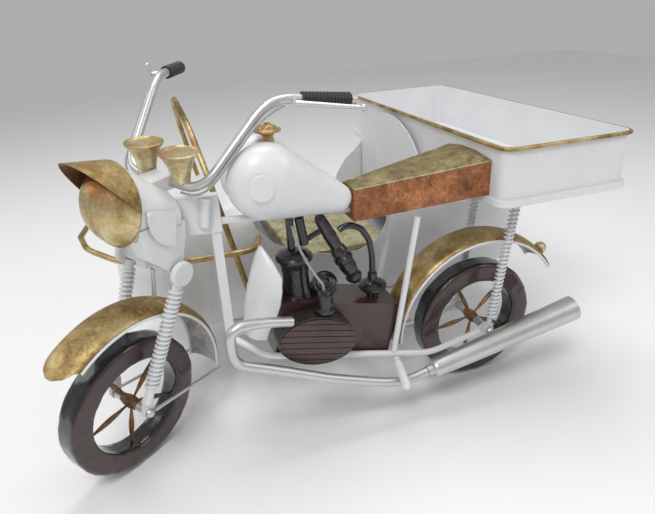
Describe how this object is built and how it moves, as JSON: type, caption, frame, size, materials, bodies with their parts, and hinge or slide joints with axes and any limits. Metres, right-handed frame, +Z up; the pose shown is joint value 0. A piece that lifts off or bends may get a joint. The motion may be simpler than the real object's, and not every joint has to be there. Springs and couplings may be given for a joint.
{
  "type": "decorative toy motorcycle with sidecar",
  "caption": "Sheet-metal display motorcycle with turning fork, spoked free-rolling wheels, an open sidecar and a wide shallow rear tray",
  "frame": {"origin": "centre of the base of the whole object's bounding box, on the ground", "axes": "+Z up, the machine faces -X, the sidecar is on the +Y side"},
  "size_m": [0.8247, 0.5626, 0.51],
  "materials": {
    "white": "white enamel on hand-beaten sheet, worn edges",
    "brass": "antique brass patina with dark speckles",
    "copper": "mottled copper-brown rust patina",
    "black": "gloss black enamel",
    "steel": "satin bare steel",
    "cable": "grey sleeve",
    "grip": "ribbed black rubber",
    "tyre": "black paint with maroon-brown sides"
  },
  "bodies": {
    "frame": {"neck_bracket": "white", "down_tube": "white", "top_tube": "white", "lower_tubes": "white", "seat_stays": "white", "tank_shell": "white", "tank_badges": "white", "filler_cap": "brass", "seat_body": "copper", "seat_cover": "brass", "crankcase": "black", "side_cover": "black", "engine_cylinder": "black", "carburettor_dome": "black", "spark_plug": "steel", "plug_cable": "cable", "intake_pipe": "black", "spindle_pipe": "black", "air_cleaner": "black", "breather_hose": "black", "leg_shield": "white", "exhaust_pipe": "steel", "muffler": "steel", "footpegs": "white", "rear_axle": "steel", "rear_fender": "brass", "tail_lamp": "brass", "shock_rods": "white", "shock_springs": "white", "tray_tub": "white", "tray_rim": "brass", "tray_base": "white", "sidecar_body": "white", "sidecar_bead": "white", "sidecar_backrest": "white", "sidecar_seat": "brass", "bumper_tube": "brass", "windshield_hoop": "brass", "sidecar_chassis": "white"},
    "steering": {"fork_crown": "white", "lamp_bucket": "white", "nacelle_skirt": "white", "lamp_dome": "brass", "lamp_visor": "brass", "handlebar": "steel", "grips": "grip", "levers": "steel", "gauges": "brass", "brake_cables": "cable", "fork_legs": "white", "fork_springs": "white", "front_axle": "steel", "front_fender": "brass", "fender_stays": "steel"},
    "front_wheel": {"tyre_front": "tyre", "wheel_front": "copper"},
    "rear_wheel": {"tyre_rear": "tyre", "wheel_rear": "copper"},
    "sidecar_wheel": {"tyre_side": "tyre", "wheel_side": "copper"}
  },
  "joints": [
    {"name": "steering", "type": "hinge", "parent": "frame", "child": "steering", "pos_m": [-0.30779, -0.16616, 0.10207], "axis": [0.1736, 0, 0.9848], "range_deg": [-74.7, 0]},
    {"name": "front_wheel_spin", "type": "hinge", "parent": "steering", "child": "front_wheel", "pos_m": [-0.32309, -0.17757, 0.1014], "axis": [-0.5975, 0.7949, 0.1053], "continuous": true},
    {"name": "rear_wheel_spin", "type": "hinge", "parent": "frame", "child": "rear_wheel", "pos_m": [0.21631, -0.16616, 0.1], "axis": [0, 1, 0], "continuous": true},
    {"name": "sidecar_wheel_spin", "type": "hinge", "parent": "frame", "child": "sidecar_wheel", "pos_m": [0.15431, 0.26084, 0.1], "axis": [0, 1, 0], "continuous": true}
  ]
}
